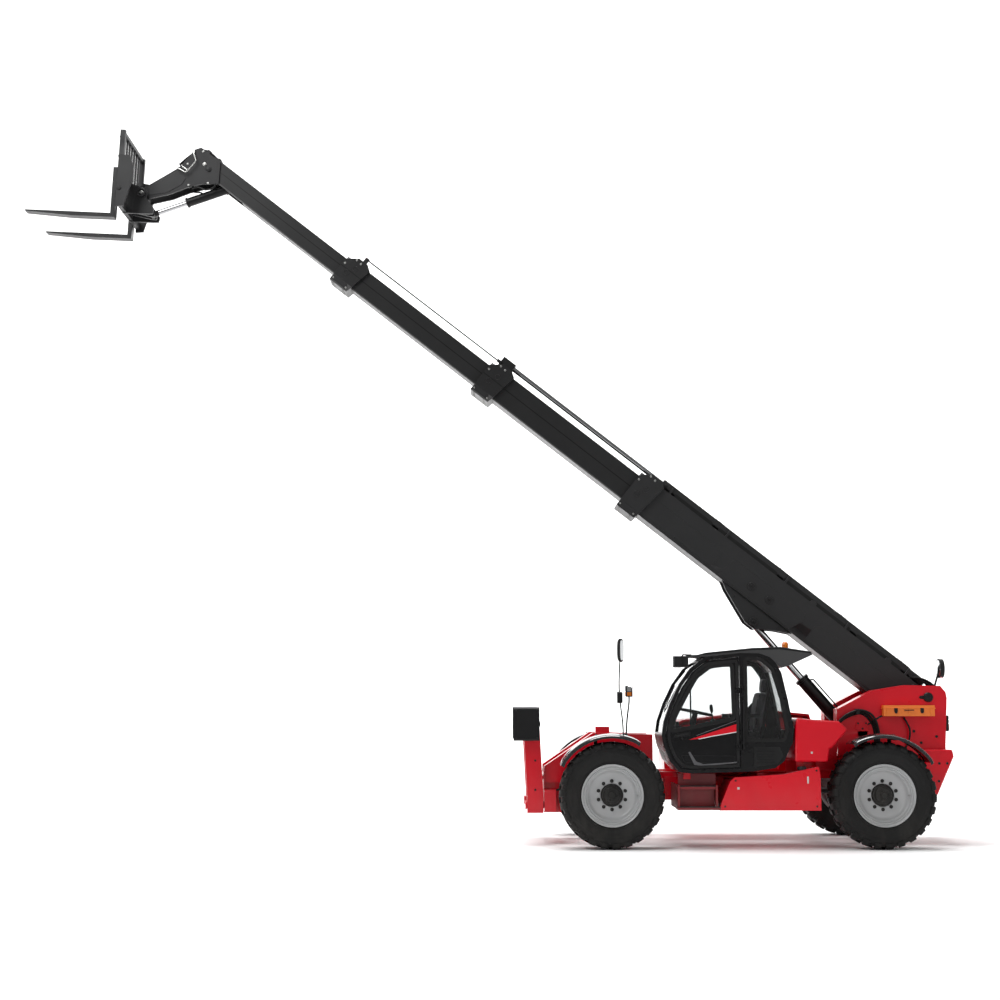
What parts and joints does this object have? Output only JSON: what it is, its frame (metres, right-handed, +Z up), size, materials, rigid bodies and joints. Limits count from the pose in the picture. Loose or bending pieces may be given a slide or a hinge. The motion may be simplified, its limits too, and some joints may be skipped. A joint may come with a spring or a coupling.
{
  "type": "telehandler",
  "caption": "Rough-terrain telescopic handler with a four-section boom, pallet forks, side cab, four-wheel steering and front stabilisers",
  "frame": {"origin": "the centre of the whole machine's bounding box in X and Y, on the ground under the tyres", "axes": "+Z up; -X is the machine's front, where the forks point; -Y is its left side, where the cab stands"},
  "size_m": [10.8514, 2.42, 8.436],
  "materials": {
    "body_red": "glossy deep red paint",
    "boom_grey": "satin charcoal paint",
    "frame_black": "satin black paint",
    "cab_grey": "satin dark grey paint",
    "rim_silver": "silver grey wheel paint",
    "tyre": "matt black lugged rubber",
    "chrome": "polished hard chrome rod",
    "cast_iron": "dark painted casting",
    "glass": "lightly tinted safety glass",
    "trim_black": "black moulded plastic",
    "guard_black": "gloss black plastic",
    "seat_cloth": "dark seat cloth",
    "beacon_orange": "orange translucent lens",
    "box_orange": "orange paint"
  },
  "bodies": {
    "chassis": {"chassis_frame": "body_red", "boom_tower": "body_red", "counterweight": "body_red", "side_tank": "body_red", "rear_cover_left": "body_red", "engine_pod": "body_red", "engine_block": "cast_iron", "axle_front": "frame_black", "axle_rear": "frame_black", "cab_frame": "cab_grey", "cab_roof": "cab_grey", "quarter_glass": "glass", "right_glass": "glass", "windscreen": "glass", "rear_glass": "glass", "driver_seat": "seat_cloth", "steering_console": "trim_black", "mirror_front": "trim_black", "beacon": "beacon_orange", "tool_box": "box_orange"},
    "cab_door": {"cab_door": "cab_grey", "door_glass": "glass"},
    "engine_hood": {"engine_hood": "body_red"},
    "boom_1": {"boom_section_1": "boom_grey"},
    "boom_2": {"boom_section_2": "boom_grey"},
    "boom_3": {"boom_section_3": "boom_grey"},
    "boom_4": {"boom_section_4": "boom_grey", "boom_head": "boom_grey"},
    "carriage": {"carriage": "boom_grey", "fork_left": "frame_black", "fork_right": "frame_black"},
    "lift_barrel": {"lift_cylinder_barrel": "frame_black"},
    "lift_rod": {"lift_cylinder_rod": "chrome"},
    "tilt_barrel": {"tilt_cylinder_barrel": "frame_black"},
    "tilt_rod": {"tilt_cylinder_rod": "chrome"},
    "knuckle_front_left": {"knuckle_front_left": "cast_iron", "mudguard_front_left": "guard_black"},
    "wheel_front_left": {"rim_front_left": "rim_silver", "tyre_front_left": "tyre"},
    "knuckle_front_right": {"knuckle_front_right": "cast_iron", "mudguard_front_right": "guard_black"},
    "wheel_front_right": {"rim_front_right": "rim_silver", "tyre_front_right": "tyre"},
    "knuckle_rear_left": {"knuckle_rear_left": "cast_iron", "mudguard_rear_left": "guard_black"},
    "wheel_rear_left": {"rim_rear_left": "rim_silver", "tyre_rear_left": "tyre"},
    "knuckle_rear_right": {"knuckle_rear_right": "cast_iron", "mudguard_rear_right": "guard_black"},
    "wheel_rear_right": {"rim_rear_right": "rim_silver", "tyre_rear_right": "tyre"},
    "stabiliser_leg_left": {"stabiliser_leg_left": "body_red"},
    "stabiliser_pad_left": {"stabiliser_pad_left": "frame_black"},
    "stabiliser_barrel_left": {"stabiliser_cylinder_left_barrel": "frame_black"},
    "stabiliser_rod_left": {"stabiliser_cylinder_left_rod": "chrome"},
    "stabiliser_leg_right": {"stabiliser_leg_right": "body_red"},
    "stabiliser_pad_right": {"stabiliser_pad_right": "frame_black"},
    "stabiliser_barrel_right": {"stabiliser_cylinder_right_barrel": "frame_black"},
    "stabiliser_rod_right": {"stabiliser_cylinder_right_rod": "chrome"}
  },
  "joints": [
    {"name": "steer_front_left", "type": "hinge", "parent": "chassis", "child": "knuckle_front_left", "pos_m": [1.49574, -0.84, 0.5875], "axis": [0, 0, 1], "range_deg": [-32, 32]},
    {"name": "wheel_spin_front_left", "type": "hinge", "parent": "knuckle_front_left", "child": "wheel_front_left", "pos_m": [1.49574, -1.005, 0.5875], "axis": [0, 1, 0], "continuous": true},
    {"name": "steer_front_right", "type": "hinge", "parent": "chassis", "child": "knuckle_front_right", "pos_m": [1.49574, 0.84, 0.5875], "axis": [0, 0, 1], "range_deg": [-32, 32]},
    {"name": "wheel_spin_front_right", "type": "hinge", "parent": "knuckle_front_right", "child": "wheel_front_right", "pos_m": [1.49574, 1.005, 0.5875], "axis": [0, 1, 0], "continuous": true},
    {"name": "steer_rear_left", "type": "hinge", "parent": "chassis", "child": "knuckle_rear_left", "pos_m": [4.49574, -0.84, 0.5875], "axis": [0, 0, 1], "range_deg": [-32, 32]},
    {"name": "wheel_spin_rear_left", "type": "hinge", "parent": "knuckle_rear_left", "child": "wheel_rear_left", "pos_m": [4.49574, -1.005, 0.5875], "axis": [0, 1, 0], "continuous": true},
    {"name": "steer_rear_right", "type": "hinge", "parent": "chassis", "child": "knuckle_rear_right", "pos_m": [4.49574, 0.84, 0.5875], "axis": [0, 0, 1], "range_deg": [-32, 32]},
    {"name": "wheel_spin_rear_right", "type": "hinge", "parent": "knuckle_rear_right", "child": "wheel_rear_right", "pos_m": [4.49574, 1.005, 0.5875], "axis": [0, 1, 0], "continuous": true},
    {"name": "boom_lift", "type": "hinge", "parent": "chassis", "child": "boom_1", "pos_m": [5.19074, 0, 1.667], "axis": [0, 1, 0], "range_deg": [-40.6, 31.9]},
    {"name": "extend_2", "type": "slide", "parent": "boom_1", "child": "boom_2", "axis": [-0.7869, 0, 0.617], "range_m": [-1.6, 1.87]},
    {"name": "extend_3", "type": "slide", "parent": "boom_2", "child": "boom_3", "axis": [-0.7869, 0, 0.617], "range_m": [-1.6, 1.87]},
    {"name": "extend_4", "type": "slide", "parent": "boom_3", "child": "boom_4", "axis": [-0.7869, 0, 0.617], "range_m": [-1.6, 1.87]},
    {"name": "carriage_tilt", "type": "hinge", "parent": "boom_4", "child": "carriage", "pos_m": [-4.10745, 0, 7.76702], "axis": [0, 1, 0], "range_deg": [-50, 54.6]},
    {"name": "lift_barrel_swing", "type": "hinge", "parent": "chassis", "child": "lift_barrel", "pos_m": [4.79274, 0, 0.762], "axis": [0, 1, 0], "range_deg": [-34.1, 26.8]},
    {"name": "lift_rod_slide", "type": "slide", "parent": "lift_barrel", "child": "lift_rod", "axis": [-0.6527, 0, 0.7576], "range_m": [-0.724, 0.569]},
    {"name": "tilt_barrel_swing", "type": "hinge", "parent": "boom_4", "child": "tilt_barrel", "pos_m": [-3.00725, 0, 7.90443], "axis": [0, 1, 0], "range_deg": [-0.7, 0.7]},
    {"name": "tilt_rod_slide", "type": "slide", "parent": "tilt_barrel", "child": "tilt_rod", "axis": [-0.943, 0, -0.3329], "range_m": [-0.176, 0.192]},
    {"name": "stabiliser_left", "type": "hinge", "parent": "chassis", "child": "stabiliser_leg_left", "pos_m": [0.65574, -0.5, 0.45], "axis": [1, 0, 0], "range_deg": [0, 105.74]},
    {"name": "stabiliser_foot_left", "type": "hinge", "parent": "stabiliser_leg_left", "child": "stabiliser_pad_left", "pos_m": [0.65574, -0.6, 1.365], "axis": [1, 0, 0], "range_deg": [-15.8, 0]},
    {"name": "stabiliser_barrel_swing_left", "type": "hinge", "parent": "chassis", "child": "stabiliser_barrel_left", "pos_m": [0.69574, 0.36, 0.72], "axis": [1, 0, 0], "range_deg": [-0.1, 13.9]},
    {"name": "stabiliser_rod_slide_left", "type": "slide", "parent": "stabiliser_barrel_left", "child": "stabiliser_rod_left", "axis": [0, -0.994, 0.1089], "range_m": [-0.001, 0.546]},
    {"name": "stabiliser_right", "type": "hinge", "parent": "chassis", "child": "stabiliser_leg_right", "pos_m": [0.65574, 0.5, 0.45], "axis": [-1, 0, 0], "range_deg": [0, 105.74]},
    {"name": "stabiliser_foot_right", "type": "hinge", "parent": "stabiliser_leg_right", "child": "stabiliser_pad_right", "pos_m": [0.65574, 0.6, 1.365], "axis": [-1, 0, 0], "range_deg": [-15.8, 0]},
    {"name": "stabiliser_barrel_swing_right", "type": "hinge", "parent": "chassis", "child": "stabiliser_barrel_right", "pos_m": [0.61074, -0.36, 0.72], "axis": [-1, 0, 0], "range_deg": [-0.1, 13.9]},
    {"name": "stabiliser_rod_slide_right", "type": "slide", "parent": "stabiliser_barrel_right", "child": "stabiliser_rod_right", "axis": [0, 0.994, 0.1089], "range_m": [-0.001, 0.546]},
    {"name": "cab_door_swing", "type": "hinge", "parent": "chassis", "child": "cab_door", "pos_m": [2.92574, -1.166, 1.43], "axis": [0, 0, 1], "range_deg": [0, 100]},
    {"name": "engine_hood_lift", "type": "hinge", "parent": "chassis", "child": "engine_hood", "pos_m": [2.99574, 0.5, 1.5], "axis": [1, 0, 0], "range_deg": [0, 55]}
  ],
  "couplings": [
    {"joint": "steer_front_right", "follows": "steer_front_left", "ratio": 1},
    {"joint": "steer_rear_right", "follows": "steer_rear_left", "ratio": 1},
    {"joint": "extend_3", "follows": "extend_2", "ratio": 1},
    {"joint": "extend_4", "follows": "extend_2", "ratio": 1},
    {"joint": "lift_barrel_swing", "follows": "boom_lift", "ratio": 0.835},
    {"joint": "lift_rod_slide", "follows": "boom_lift", "m_per_rad": 1.02},
    {"joint": "tilt_barrel_swing", "follows": "carriage_tilt", "ratio": -0.01},
    {"joint": "tilt_rod_slide", "follows": "carriage_tilt", "m_per_rad": 0.2},
    {"joint": "stabiliser_foot_left", "follows": "stabiliser_left", "ratio": -0.14887},
    {"joint": "stabiliser_barrel_swing_left", "follows": "stabiliser_left", "ratio": 0.13},
    {"joint": "stabiliser_rod_slide_left", "follows": "stabiliser_left", "m_per_rad": 0.295},
    {"joint": "stabiliser_foot_right", "follows": "stabiliser_right", "ratio": -0.14887},
    {"joint": "stabiliser_barrel_swing_right", "follows": "stabiliser_right", "ratio": 0.13},
    {"joint": "stabiliser_rod_slide_right", "follows": "stabiliser_right", "m_per_rad": 0.295}
  ]
}
